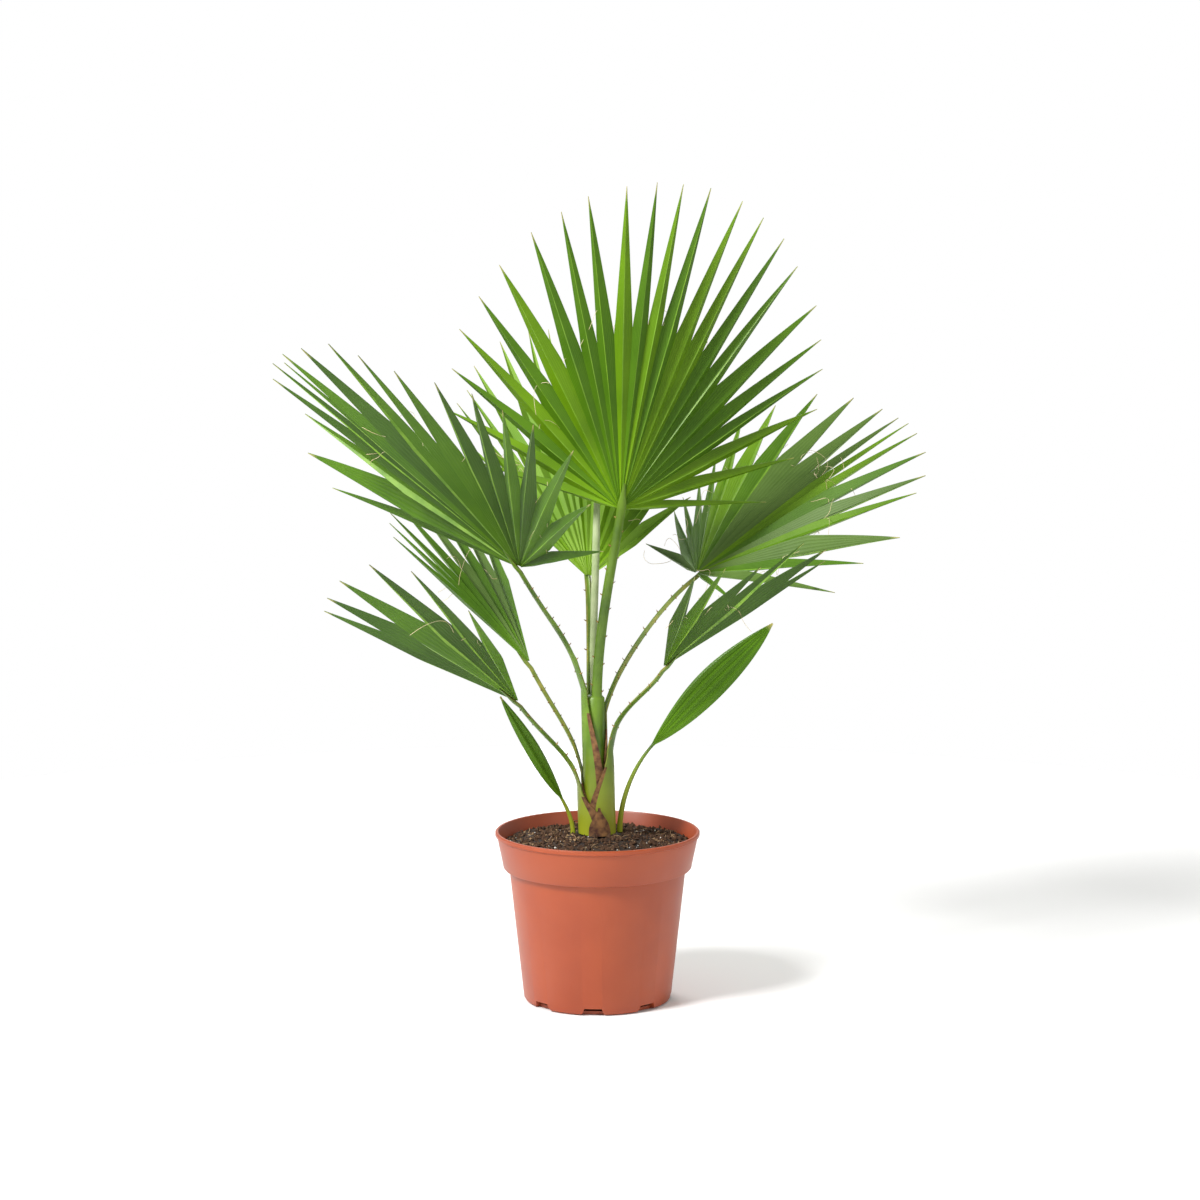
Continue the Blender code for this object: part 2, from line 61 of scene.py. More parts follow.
# The notches in the pot's foot. The first stands NOTCH_TURN radians left of the front. The section
# holds its corners, each as a share of the notch's width across and a height.
NOTCHES = 8
NOTCH_TURN = 0.06
NOTCH_WIDTH = 22 * MM
NOTCH_HEIGHT = 6.5 * MM
NOTCH_DEPTH = 6 * MM
NOTCH_PAST = 4 * MM
NOTCH_SECTION = ((-0.5, -1 * MM), (0.5, -1 * MM), (0.36, NOTCH_HEIGHT), (-0.36, NOTCH_HEIGHT))

# The soil, with its hollow. Lumps and roughness are how uneven it is: how high, and how many a metre.
SOIL_TOP = 157 * MM
SOIL_HEAP_RADIUS = 33 * MM
SOIL_EDGE = 148 * MM
SOIL_RADIUS = POT_RIM_RADIUS - 7.5 * MM
SOIL_TAPER = 4 * MM
SOIL_RINGS = 46
SOIL_SIDES = 150
SOIL_LUMPS = (2.4 * MM, 80)
SOIL_ROUGHNESS = (0.8 * MM, 320)
HOLLOW_PLACE = Vector((36 * MM, 30 * MM, 0))
HOLLOW_RADIUS = 20 * MM
HOLLOW_DEPTH = 6 * MM

# What lies on the soil. Each kind of grain has its material, a count, and its least and largest size
# in mm. The shares are the inner and outer limit of where things lie, as shares of the rim's area.
GRAINS = (("crumb", 1700, 0.7, 2.9), ("crumb_light", 260, 0.5, 1.6), ("perlite", 120, 0.4, 1.1))
GRAIN_SHARES = (0.055, 0.82)
GRAIN_CEILING = SOIL_TOP + 1.5 * MM
LUMP_CORNERS = ((1, 0, 0), (-1, 0, 0), (0, 1, 0), (0, -1, 0), (0, 0, 1), (0, 0, -1))
LUMP_FACES = ((0, 2, 4), (2, 1, 4), (1, 3, 4), (3, 0, 4), (2, 0, 5), (1, 2, 5), (3, 1, 5), (0, 3, 5))
ROOTS = 120
ROOT_SHARES = (0.06, 0.7)
ROOT_LENGTHS = (8, 24)
ROOT_RADIUS = 0.25 * MM

# The stem, the sheaths and the stalks
STEM_FOOT_X = 0.5 * MM
STEM_TOP_X = -2.5 * MM
STEM_FOOT = SOIL_TOP + GAP
STEM_TOP = 284 * MM
STEM_RADIUS = 9.0 * MM
SHEATH_THICK = 1.5 * MM
STALK_THICK = 3.4 * MM
STALK_ROUND = 4.2 * MM
INNER_ROUND = 6.5 * MM

# A ring of a stalk or sheath is a crescent: ARC_STEPS faces on its outer side, a margin, as many
# faces on its inner side and the other margin, counted in that order. The places by the margins are
# dry on a sheath, except along its last GREEN_RINGS.
ARC_STEPS = 16
MARGINS = (ARC_STEPS, 2 * ARC_STEPS + 1)
DRY_PLACES = (0, 1, 2, 14, 15, 16, 17, 18, 31, 32, 33)
SHEATH_RINGS = 18
GREEN_RINGS = 4

# The stalk's end under its fan: how far past the hub in mm, and how much of its section is left
COSTA = ((4, 1.0), (9, 0.8), (16, 0.5), (24, 0.2))
COSTA_START = 4 * MM
COSTA_SINK = 0.8 * MM

# The teeth, with their least and largest length in mm
TOOTH_LENGTHS = (1.8, 2.8)
TOOTH_ROOT = 0.6 * MM
TOOTH_RADII = (0.9 * MM, 0.5 * MM, 0.08 * MM)

# The leaflets. Each is a grid of ROWS steps from the hub to its tip, with COLUMNS across it: -1 and
# 1 are its edges, and the strip after RIB_COLUMN is its rib.
LEAF_THICK = 0.5 * MM
BLADE_START = 3 * MM
PLEAT = 0.72
ROWS = 26
COLUMNS = (-1, -0.68, -0.36, -0.04, 0.04, 0.36, 0.68, 1)
RIB_COLUMN = 3
RIB_HALF_WIDTH = 0.04
RIB_DEPTH = 0.3 * MM
LEAST_HALF_WIDTH = 0.25 * MM
WIDTH_LOSS = 0.06
TAPER = 0.9
TIP_BEND = 2.2 * MM

# The undivided first leaves: steps along one and across each of its pleats, and how deep these are
STRAP_ROWS = 40
PLEAT_STEPS = 8
STRAP_PLEAT = 0.8
STRAP_ROUNDING = 0.8
STRAP_LEAST_HALF_WIDTH = 0.8 * MM

# The loose threads between leaflets, with their least and largest length in mm
THREAD_LENGTHS = (15, 55)
THREAD_RADIUS = 0.22 * MM
THREAD_STEPS = 14
STEPS_PER_CURL = 5
FIRST_CURL = 0.22
LATER_CURL = 0.3
THREAD_SAG = Vector((0, 0, -0.03))

# A fan leaf. hub is where its leaflets meet, in mm. aim is where its middle leaflet points and
# upper is where its upper side faces, each as an angle from +X round to +Y and an angle above level.
# fold lifts its two sides, droop pulls its tips down, and split is how far out the leaflets part.
# leaflets holds each leaflet's spread from the middle in degrees and its length in mm.
Fan = namedtuple("Fan", "hub aim upper fold droop split leaflets")

FANS = {
    "top": Fan((21, -30, 463), (-43, 79), (100, 0), 0.40, 0.15, 0.56, (
        (81, 149), (67, 186), (57, 203), (48, 224), (40, 238), (32, 255), (24, 274), (18, 287),
        (13, 299), (7, 308), (2, 314), (-2, 315), (-7, 316), (-13, 312), (-18, 305), (-24, 297),
        (-29, 283), (-38, 269), (-45, 253), (-51, 240), (-60, 220), (-72, 186), (-86, 155))),
    "back": Fan((-9, 30, 392), (100, 62), (-88, 30), 0.10, 0.10, 0.55, (
        (-40, 140), (-35, 178), (-31, 215), (-26, 222), (-22, 242), (-14, 258), (-8, 264),
        (-4, 262), (1, 260), (7, 257), (14, 245), (21, 222), (30, 192), (41, 164), (54, 125))),
    "left": Fan((-70, -65, 414), (-147, 47), (37, 42), 0.08, 0.10, 0.56, (
        (74, 274), (63, 277), (42, 253), (36, 290), (28, 293), (23, 284), (19, 291), (9, 290),
        (-3, 296), (-9, 283), (-16, 269), (-26, 270), (-34, 277), (-41, 275), (-47, 280),
        (-55, 279), (-64, 207), (-80, 150))),
    "right": Fan((93, 55, 393), (28, 38), (-142, 50), 0.0, 0.20, 0.58, (
        (-83, 108), (-63, 133), (-57, 150), (-50, 171), (-45, 202), (-40, 270), (-32, 274),
        (-23, 281), (-11, 270), (0, 259), (7, 255), (12, 255), (17, 252), (26, 247), (36, 239),
        (41, 228), (57, 219), (66, 192), (79, 182), (100, 96))),
    "left_back": Fan((-63, 30, 312), (150, 42), (-20, 45), 0.10, 0.10, 0.50, (
        (-17, 175), (-9, 190), (-2, 203), (6, 222), (14, 240), (22, 262), (29, 275), (36, 270))),
    "low_left": Fan((-72, -40, 287), (-150, 37), (42, 38), 0.05, 0.10, 0.52, (
        (39, 202), (25, 200), (5, 212), (-14, 240), (-26, 240), (-35, 183))),
    "low_right": Fan((60, -50, 321), (-45, 38), (138, 42), 0.05, 0.10, 0.52, (
        (31, 207), (22, 201), (8, 180), (0, 215), (-17, 196), (-27, 180))),
}

# A stalk with the sheath that wraps the stem. turn is the side of the stem its middle lies on, wrap
# the sheath's outer radius, foot and leave the heights where the sheath begins and where the stalk
# leaves the stem, and spread half the angle that the sheath covers at its foot. width is the
# stalk's width above the sheath and at the hub. tilt is how far from upright it starts, arms how
# stiff its two ends are, and swing turns its upper end from the fan's aim toward a straight line.
Stalk = namedtuple("Stalk", "turn wrap foot leave spread width tilt arms swing")

STALKS = {
    "right": Stalk(25, 10.9, 185, 270, 84, (8.5, 6.0), 15, (0.21, 0.33), -0.6),
    "left": Stalk(-150, 12.8, 175, 292, 96, (10.5, 6.5), 19, (0.39, 0.55), 0.84),
    "left_back": Stalk(168, 14.7, 165, 213, 80, (7.5, 6.0), 13, (0.34, 0.43), 0.93),
    "low_right": Stalk(-32, 16.6, 157.3, 235, 92, (9.5, 5.0), 7, (0.40, 0.35), 1.0),
    "low_left": Stalk(-160, 18.5, 157.3, 201, 92, (10.0, 5.0), 12, (0.29, 0.38), 1.0),
}

# The rag of an old sheath at the stem's foot, and how narrow it ends, as half an angle in degrees
OLD_SHEATH = Stalk(-85, 20.4, 157.3, 184, 30, (1.2, 1.2), 0, (0, 0), 0)
OLD_SHEATH_END = 3

# The stalks that rise from the top of the stem: foot in mm, and width at the foot and at the hub
INNER_STALKS = {
    "top": ((-0.2, -7.0), (9.5, 8.5)),
    "back": ((-7.0, 6.6), (6.5, 6.0)),
}

# The youngest leaf, still a closed spear: points along it and its radius there, in mm
SPEAR = (
    ((-4.4, -0.2, 284.3), 2.2), ((-4.0, 0, 330), 3.2), ((-1.2, 0, 430), 3.4),
    ((0, 0, 490), 2.2), ((0.6, 0, 523), 0.7))
SPEAR_SIDES = 16
SPEAR_RIDGES = 0.12

# The two undivided first leaves. soil is the stalk's foot, and foot and tip are the blade's ends, in
# mm. upper is where its upper side faces, as for a fan, and folds counts its pleats. fullest is 1
# where it is widest in the middle, and less where that is nearer its foot. bend is how far its
# middle bows out, and stalk is the stalk's thickness at its foot and at its top.
Strap = namedtuple("Strap", "soil foot tip upper width folds fullest bend stalk")

STRAPS = {
    "leaf_left": Strap(
        (-22.8, -6, 157.3), (-32, -10, 190), (-88, -60, 295), (-70, 25), 15, 2, 0.9, 2, (4.5, 2.6)),
    "leaf_right": Strap(
        (20.6, 3, 157.3), (50, 5, 238), (163, 30, 349), (-110, 25), 31, 4, 1.0, 4, (5.5, 2.8)),
}

# Which leaf tones each fan is made of, how many loose threads hang where two of its leaflets part,
# and how far apart the teeth of its stalk stand, in mm
Dress = namedtuple("Dress", "tones threads teeth")

DRESS = {
    "top": Dress(("leaf_bright", "leaf_bright", "leaf_mid"), 0.35, 22),
    "back": Dress(("leaf_yellow", "leaf_bright"), 1.6, 30),
    "left": Dress(("leaf_mid", "leaf_mid", "leaf_dark"), 0.7, 11),
    "right": Dress(("leaf_mid", "leaf_bright", "leaf_grey"), 1.8, 13),
    "left_back": Dress(("leaf_mid", "leaf_grey"), 1.4, 12),
    "low_left": Dress(("leaf_mid", "leaf_dark"), 0.8, 16),
    "low_right": Dress(("leaf_dark", "leaf_mid"), 0.8, 13),
}

# The floor, the daylight, the lamps as name, place, power in watts and size, and the camera
FLOOR_RADIUS = 1.3
FLOOR_SIDES = 64
FLOOR_DROP = 0.4 * MM
FLOOR_WHITE = (0.93, 0.93, 0.93, 1.0)
DAYLIGHT = (1.0, 1.0, 0.97, 1.0)
DAYLIGHT_STRENGTH = 0.55
LAMPS = (
    ("key", (-1.5, -1.3, 2.1), 95, 0.7),
    ("fill", (1.9, -1.9, 1.2), 10, 1.6),
    ("back", (-0.6, 1.9, 1.9), 30, 1.2))
LAMP_TARGET = Vector((0, 0, 0.4))
LENS = 100
SENSOR = 36
CAMERA_PLACE = (2.3 * MM, -3.04, 0.797)
CAMERA_PITCH = 7.9


def mix(a, b, t):
    return a + (b - a) * t


def smooth(t):
    t = min(max(t, 0.0), 1.0)
    return t * t * (3 - 2 * t)


def direction(turn, height):
    """The unit vector at an angle from +X round to +Y and an angle above level, in degrees."""
    turn, height = math.radians(turn), math.radians(height)
    return Vector((math.cos(height) * math.cos(turn), math.cos(height) * math.sin(turn), math.sin(height)))


def polar(radius, turn, height=0.0):
    """A point at a radius and an angle from +X round to +Y, in radians."""
    return Vector((radius * math.cos(turn), radius * math.sin(turn), height))


def square_to(vector, aim):
    """The unit vector nearest to a vector that is at right angles to a unit aim."""
    return (vector - vector.dot(aim) * aim).normalized()


def wander():
    return Vector((rng.gauss(0, 1), rng.gauss(0, 1), rng.gauss(0, 1)))


def color(code):
    """A linear colour from an sRGB code such as 6f8f2a."""
    parts = [int(code[k:k + 2], 16) / 255 for k in (0, 2, 4)]
    return tuple(c / 12.92 if c <= 0.04045 else ((c + 0.055) / 1.055) ** 2.4 for c in parts) + (1.0,)


def add_object(name, data):
    obj = bpy.data.objects.new(name, data)
    bpy.context.collection.objects.link(obj)
    return obj


# Materials

def principled(name, roughness):
    material = bpy.data.materials.new(name)
    material.use_nodes = True
    shader = material.node_tree.nodes["Principled BSDF"]
    shader.inputs["Roughness"].default_value = roughness
    return material, material.node_tree, shader


def ramp(tree, factor, low, high, first, second):
    """Blend two colours or colour sockets as a factor rises from low to high."""
    span = tree.nodes.new("ShaderNodeMapRange")
    span.inputs["From Min"].default_value = low
    span.inputs["From Max"].default_value = high
    tree.links.new(factor, span.inputs["Value"])
    blend = tree.nodes.new("ShaderNodeMix")
    blend.data_type = "RGBA"
    tree.links.new(span.outputs["Result"], blend.inputs["Factor"])
    color_a, color_b, color_result = blend.inputs[6], blend.inputs[7], blend.outputs[2]
    for socket, value in ((color_a, first), (color_b, second)):
        if isinstance(value, tuple):
            socket.default_value = value
        else:
            tree.links.new(value, socket)
    return color_result


def object_place(tree):
    return tree.nodes.new("ShaderNodeTexCoord").outputs["Object"]


def noise_node(tree, scale):
    texture = tree.nodes.new("ShaderNodeTexNoise")
    texture.inputs["Scale"].default_value = scale
    texture.inputs["Detail"].default_value = 4.0
    tree.links.new(object_place(tree), texture.inputs["Vector"])
    return texture.outputs[0]


def separate(tree, source):
    node = tree.nodes.new("ShaderNodeSeparateXYZ")
    tree.links.new(source, node.inputs[0])
    return node


def math_node(tree, operation, source):
    node = tree.nodes.new("ShaderNodeMath")
    node.operation = operation
    tree.links.new(source, node.inputs[0])
    return node


def bump(tree, shader, height, strength, distance):
    node = tree.nodes.new("ShaderNodeBump")
    node.inputs["Strength"].default_value = strength
    node.inputs["Distance"].default_value = distance
    tree.links.new(height, node.inputs["Height"])
    tree.links.new(node.outputs["Normal"], shader.inputs["Normal"])


def leaf_material(name, deep, light, tip):
    """A leaflet: fine veins along it, paler toward the hub and straw-coloured at the very tip."""
    material, tree, shader = principled(name, 0.5)
    shader.inputs["Specular IOR Level"].default_value = 0.25
    uv = tree.nodes.new("ShaderNodeUVMap")
    uv.uv_map = "leaf"
    place = separate(tree, uv.outputs["UV"])
    waves = math_node(tree, "MULTIPLY", place.outputs["X"])
    waves.inputs[1].default_value = 70
    veins = math_node(tree, "SINE", waves.outputs[0]).outputs[0]
    mottled = ramp(tree, noise_node(tree, 14), 0.2, 0.95, deep, light)
    lined = ramp(tree, veins, 0.2, 2.6, mottled, light)
    hub = ramp(tree, place.outputs["Y"], 0.02, 0.30, light, lined)
    end = ramp(tree, place.outputs["Y"], 0.95, 1.0, hub, tip)
    tree.links.new(end, shader.inputs["Base Color"])
    bump(tree, shader, veins, 0.25, 0.3 * MM)
    return material


def mottled_material(name, first, second, scale, roughness, depth=0.0):
    """Two colours in soft blotches, with bumps of that depth where one is given."""
    material, tree, shader = principled(name, roughness)
    factor = noise_node(tree, scale)
    tree.links.new(ramp(tree, factor, 0.35, 0.65, first, second), shader.inputs["Base Color"])
    if depth:
        bump(tree, shader, factor, 0.5, depth)
    return material


def stalk_material(name, first, second, foot):
    """A green stalk that turns yellow toward the foot of its sheath."""
    material, tree, shader = principled(name, 0.42)
    height = separate(tree, object_place(tree)).outputs["Z"]
    mottled = ramp(tree, noise_node(tree, 30), 0.35, 0.65, first, second)
    risen = ramp(tree, height, 0.16, 0.24, foot, mottled)
    tree.links.new(risen, shader.inputs["Base Color"])
    return material


def make_materials():
    tip = color("b9ad6a")
    return {
        "leaf_bright": leaf_material("leaf_bright", color("456906"), color("76a00c"), tip),
        "leaf_yellow": leaf_material("leaf_yellow", color("5f8a1c"), color("8aae3a"), tip),
        "leaf_mid": leaf_material("leaf_mid", color("375b08"), color("5a8410"), tip),
        "leaf_dark": leaf_material("leaf_dark", color("2c4a0a"), color("476a16"), tip),
        "leaf_grey": leaf_material("leaf_grey", color("445f20"), color("65823a"), tip),
        "rib": mottled_material("rib", color("638f1c"), color("82ab30"), 60, 0.45),
        "stalk": stalk_material("stalk", color("48680f"), color("6a8a20"), color("98a020")),
        "stalk_edge": mottled_material("stalk_edge", color("5c7422"), color("8a8638"), 90, 0.6),
        "dry": mottled_material("dry", color("472618"), color("8a6238"), 170, 0.8, 0.6 * MM),
        "fibre": mottled_material("fibre", color("c9b184"), color("e6d7b0"), 60, 0.7),
        "tooth": mottled_material("tooth", color("7c5a2a"), color("9c8440"), 80, 0.5),
        "spear": mottled_material("spear", color("9cae78"), color("b6c294"), 60, 0.55),
        "soil": mottled_material("soil", color("1c120c"), color("38271b"), 160, 0.95, 1.2 * MM),
        "crumb": mottled_material("crumb", color("321f12"), color("583d27"), 200, 0.95),
        "crumb_light": mottled_material("crumb_light", color("86694c"), color("ab8d68"), 200, 0.95),
        "perlite": mottled_material("perlite", color("dcd6cc"), color("f2eee6"), 300, 0.9),
        "pot": mottled_material("pot", color("973f1d"), color("a14722"), 14, 0.42),
    }


# Mesh helpers

class Build:
    """Collects points and faces, each face with a material and texture places along its leaflet."""

    def __init__(self):
        self.points = []
        self.faces = []
        self.kinds = []
        self.names = []
        self.uvs = []

    def kind(self, name):
        if name not in self.names:
            self.names.append(name)
        return self.names.index(name)

    def face(self, face, name, uv=None):
        self.faces.append(face)
        self.kinds.append(self.kind(name))
        self.uvs.append(uv or [(0.5, 0.5)] * len(face))

    def sheet(self, rows, across, names, flip):
        """Add a grid of faces through rows of points, and give the number of its first point. across
        holds each column's place in the texture, and names the material of each strip between."""
        base, count, last = len(self.points), len(across), len(rows) - 1
        self.points += [point for row in rows for point in row]
        for r in range(last):
            for c, name in enumerate(names):
                a = base + r * count + c
                face = [a, a + 1, a + count + 1, a + count]
                corners = ((c, r), (c + 1, r), (c + 1, r + 1), (c, r + 1))
                places = [(across[x], y / last) for x, y in corners]
                if flip:
                    face.reverse()
                    places.reverse()
                self.face(face, name, places)
        return base

    def tube(self, path, radii, name, sides):
        """A thin round thread through points, closed at both ends."""
        start = len(self.points)
        for k, point in enumerate(path):
            along = (path[min(k + 1, len(path) - 1)] - path[max(k - 1, 0)]).normalized()
            side = along.orthogonal().normalized()
            other = along.cross(side)
            for s in range(sides):
                angle = 2 * math.pi * s / sides
                self.points.append(point + radii[k] * (math.cos(angle) * side + math.sin(angle) * other))
        for k in range(len(path) - 1):
            for s in range(sides):
                t = (s + 1) % sides
                a, b = start + k * sides, start + (k + 1) * sides
                self.face((a + s, a + t, b + t, b + s), name)
        self.face(tuple(start + s for s in reversed(range(sides))), name)
        self.face(tuple(start + (len(path) - 1) * sides + s for s in range(sides)), name)

    def loft(self, rings, name, margin=None, sheath=0):
        """A closed limb through rings. margin is the material of a crescent's margins, and sheath
        how many rings have dry ones."""
        start, count = len(self.points), len(rings[0])
        self.points += [p for ring in rings for p in ring]
        for r in range(len(rings) - 1):
            a, b = start + r * count, start + (r + 1) * count
            for i in range(count):
                j = (i + 1) % count
                kind = name
                if r < sheath and i in DRY_PLACES:
                    kind = "dry"
                elif margin and i in MARGINS:
                    kind = margin
                self.face((a + i, a + j, b + j, b + i), kind)
        last, half = start + (len(rings) - 1) * count, count // 2
        for k in range(half - 1):
            self.face((start + k, start + count - 1 - k, start + count - 2 - k, start + k + 1), name)
            self.face((last + k, last + k + 1, last + count - 2 - k, last + count - 1 - k), name)

    def done(self, name, materials, replaced, slot, sharp, normals=True):
        """The finished piece, with its edges above sharp degrees left sharp."""
        mesh = bpy.data.meshes.new(name)
        mesh.from_pydata(self.points, [], self.faces)
        for kind in self.names:
            mesh.materials.append(materials[kind])
        layer = mesh.uv_layers.new(name="leaf")
        for polygon, kind, uv in zip(mesh.polygons, self.kinds, self.uvs):
            polygon.material_index = kind
            polygon.use_smooth = True
            for loop, place in zip(polygon.loop_indices, uv):
                layer.data[loop].uv = place
        if normals:
            bm = bmesh.new()
            bm.from_mesh(mesh)
            bmesh.ops.recalc_face_normals(bm, faces=bm.faces)
            bm.to_mesh(mesh)
            bm.free()
        mesh.set_sharp_from_angle(angle=math.radians(sharp))
        obj = add_object(name, mesh)
        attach(obj, "root")
        if replaced:
            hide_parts(*replaced)


class Surface:
    """The surface that a fan's leaflets lie in."""

    def __init__(self, fan):
        self.hub = Vector(fan.hub) * MM
        self.aim = direction(*fan.aim)
        self.upper = square_to(direction(*fan.upper), self.aim)
        self.side = self.aim.cross(self.upper)
        self.fold = fan.fold
        self.droop = fan.droop

    def point(self, spread, reach):
        """The point at a spread in degrees and a distance from the hub. The fold is rounded."""
        s, c = math.sin(math.radians(spread)), math.cos(math.radians(spread))
        lift = self.fold * (math.sqrt(s * s + 0.01) - 0.1)
        out = (c * self.aim + s * self.side + lift * self.upper).normalized()
        return self.hub + reach * out - Vector((0, 0, self.droop * reach * reach))

    def axes(self, spread, reach):
        """Directions across a leaflet, out of its upper side and along it."""
        across = (self.point(spread + 0.5, reach) - self.point(spread - 0.5, reach)).normalized()
        out = (self.point(spread, reach + MM) - self.point(spread, reach)).normalized()
        return across, across.cross(out).normalized(), out


def split_share(fan, spread):
    """How far out two leaflets part, as a share of their length: least at the fan's sides."""
    return max(fan.split - 0.38 * abs(spread / 85) ** 3.5, 0.14)


# Leaves

def leaflet_grid(surface, spread, length, edges, splits, turn):
    """Rows of points from the hub to the tip, from edge to edge, each point with its normal. As far
    out as a leaflet is joined to its neighbour, the two share an edge."""
    grid = []
    bend = rng.uniform(-1, 1) * TIP_BEND
    width = 1 - WIDTH_LOSS * rng.random()
    for r in range(ROWS + 1):
        along = r / ROWS
        radius = mix(BLADE_START, length, along)
        across, normal, _ = surface.axes(spread, radius)
        middle = surface.point(spread, radius) + across * bend * along ** 4
        row = []
        for x in COLUMNS:
            side = 0 if x < 0 else 1
            split = splits[side]
            wide = math.radians(abs(edges[side] - spread)) * min(radius, split)
            if radius > split:
                wide *= width * max(1 - (radius - split) / (length - split), 0.0) ** TAPER
            wide = max(wide, LEAST_HALF_WIDTH)
            lift = PLEAT * wide * (abs(x) - 0.5)
            sunk = RIB_DEPTH * (1 - along) if abs(x) <= RIB_HALF_WIDTH else 0
            if radius <= split:
                point = surface.point(mix(spread, edges[side], abs(x)), radius)
            else:
                point = middle + across * (turn * x * wide)
            row.append((point + normal * (lift - sunk), normal))
        grid.append(row)
    return grid


def leaflet(build, surface, spread, length, edges, splits, turn, tone):
    """One leaflet: two long facets either side of a pale rib, from the hub to its tip."""
    grid = leaflet_grid(surface, spread, length, edges, splits, turn)
    across = [x / 2 + 0.5 for x in COLUMNS]
    names = ["rib" if c == RIB_COLUMN else tone for c in range(len(COLUMNS) - 1)]
    sides = []
    for thick in (LEAF_THICK / 2, -LEAF_THICK / 2):
        rows = [[point + normal * thick for point, normal in row] for row in grid]
        sides.append(build.sheet(rows, across, names, (thick < 0) != (turn < 0)))
    upper, lower = sides
    for r in range(ROWS):
        for c in (0, len(COLUMNS) - 1):
            a, b = r * len(COLUMNS) + c, (r + 1) * len(COLUMNS) + c
            build.face([upper + a, upper + b, lower + b, lower + a], tone)


def thread(start, heading, length):
    """The wandering line of a loose thread."""
    path = [start]
    course = heading.normalized()
    curl = wander() * FIRST_CURL
    for k in range(THREAD_STEPS):
        if k % STEPS_PER_CURL == STEPS_PER_CURL - 1:
            curl = wander() * LATER_CURL
        course = (course + curl + THREAD_SAG).normalized()
        path.append(path[-1] + course * length / THREAD_STEPS)
    return path


def fan_leaf(name, fan, materials, threads):
    """A whole fan, and the threads that hang where its leaflets part."""
    dress = DRESS[name]
    surface = Surface(fan)
    spreads = [leaf[0] for leaf in fan.leaflets]
    lengths = [leaf[1] * MM for leaf in fan.leaflets]
    turn = 1 if spreads[-1] > spreads[0] else -1
    edges = [(a + b) / 2 for a, b in zip(spreads, spreads[1:])]
    edges = [2 * spreads[0] - edges[0]] + edges + [2 * spreads[-1] - edges[-1]]
    reach = [lengths[0]] + [(a + b) / 2 for a, b in zip(lengths, lengths[1:])] + [lengths[-1]]
    splits = [length * split_share(fan, edge) for length, edge in zip(reach, edges)]
    build = Build()
    for i, spread in enumerate(spreads):
        tone = dress.tones[rng.randrange(len(dress.tones))]
        leaflet(build, surface, spread, lengths[i], edges[i:i + 2], splits[i:i + 2], turn, tone)
    for edge, split in zip(edges[1:-1], splits[1:-1]):
        for _ in range(int(dress.threads + rng.random())):
            across, normal, out = surface.axes(edge, split)
            heading = out + across * rng.uniform(-1, 1) + normal * rng.uniform(-0.2, 0.6)
            path = thread(surface.point(edge, split), heading, rng.uniform(*THREAD_LENGTHS) * MM)
            threads.tube(path, [THREAD_RADIUS] * len(path), "fibre", 3)
    build.done("fan_" + name, materials, ["frond_" + name], "leaf", 28, False)


def strap_axes(strap):
    """The ends of a first leaf's blade, its aim and the direction out of its upper side."""
    foot, tip = Vector(strap.foot) * MM, Vector(strap.tip) * MM
    aim = (tip - foot).normalized()
    return foot, tip, aim, square_to(direction(*strap.upper), aim)


def strap_leaf(name, strap, materials):
    """An undivided first leaf, pleated lengthwise."""
    foot, tip, aim, normal = strap_axes(strap)
    side = aim.cross(normal)
    columns = PLEAT_STEPS * strap.folds
    across = [c / columns for c in range(columns + 1)]
    build = Build()
    for thick in (LEAF_THICK / 2, -LEAF_THICK / 2):
        rows = []
        for r in range(STRAP_ROWS + 1):
            t = r / STRAP_ROWS
            full = math.sin(math.pi * t ** strap.fullest) ** STRAP_ROUNDING
            half = max(strap.width * MM / 2 * full, STRAP_LEAST_HALF_WIDTH)
            centre = foot.lerp(tip, t) + normal * strap.bend * MM * math.sin(math.pi * t) ** 2
            row = []
            for c in range(columns + 1):
                x = 2 * c / columns - 1
                wave = 0.5 - abs((2 * c / PLEAT_STEPS) % 2 - 1)
                raised = wave * STRAP_PLEAT * half / strap.folds
                row.append(centre + side * half * x + normal * (raised + thick))
            rows.append(row)
        build.sheet(rows, across, ["leaf_mid"] * columns, thick < 0)
    build.done("blade_" + name, materials, [name], "leaf", 16, False)


# Stalks and sheaths

def bezier(points, t):
    a, b, c, d = points
    s = 1 - t
    return s ** 3 * a + 3 * s * s * t * b + 3 * s * t * t * c + t ** 3 * d


def crescent(middle, outward, side, radius, half_angle, thick):
    """A ring shaped like the section of a stalk or sheath, round a point radius inward of its middle."""
    centre = middle - outward * radius
    angles = [half_angle * (2 * k / ARC_STEPS - 1) for k in range(ARC_STEPS + 1)]
    facing = [math.cos(angle) * outward + math.sin(angle) * side for angle in angles]
    outer = [centre + radius * face for face in facing]
    inner = [centre + (radius - thick) * face for face in reversed(facing)]
    return outer + inner


def stem_axis(height):
    share = (height - STEM_FOOT) / (STEM_TOP - STEM_FOOT)
    return Vector((mix(STEM_FOOT_X, STEM_TOP_X, share), 0, height))


def stalk_rings(path, widths, radius_at, thick_at, outward, steps):
    """Rings along a curve. Their radius, thickness and outer side change along it."""
    rings = []
    for k in range(1, steps + 1):
        t = k / steps
        here = bezier(path, t)
        along = (bezier(path, min(t + 0.01, 1.0)) - bezier(path, t - 0.01)).normalized()
        face = square_to(outward(t), along)
        radius = radius_at(t)
        half = mix(widths[0], widths[1], t) * MM / 2
        angle = math.asin(min(half / radius, 0.95))
        rings.append(crescent(here, face, face.cross(along), radius, angle, thick_at(t)))
    return rings


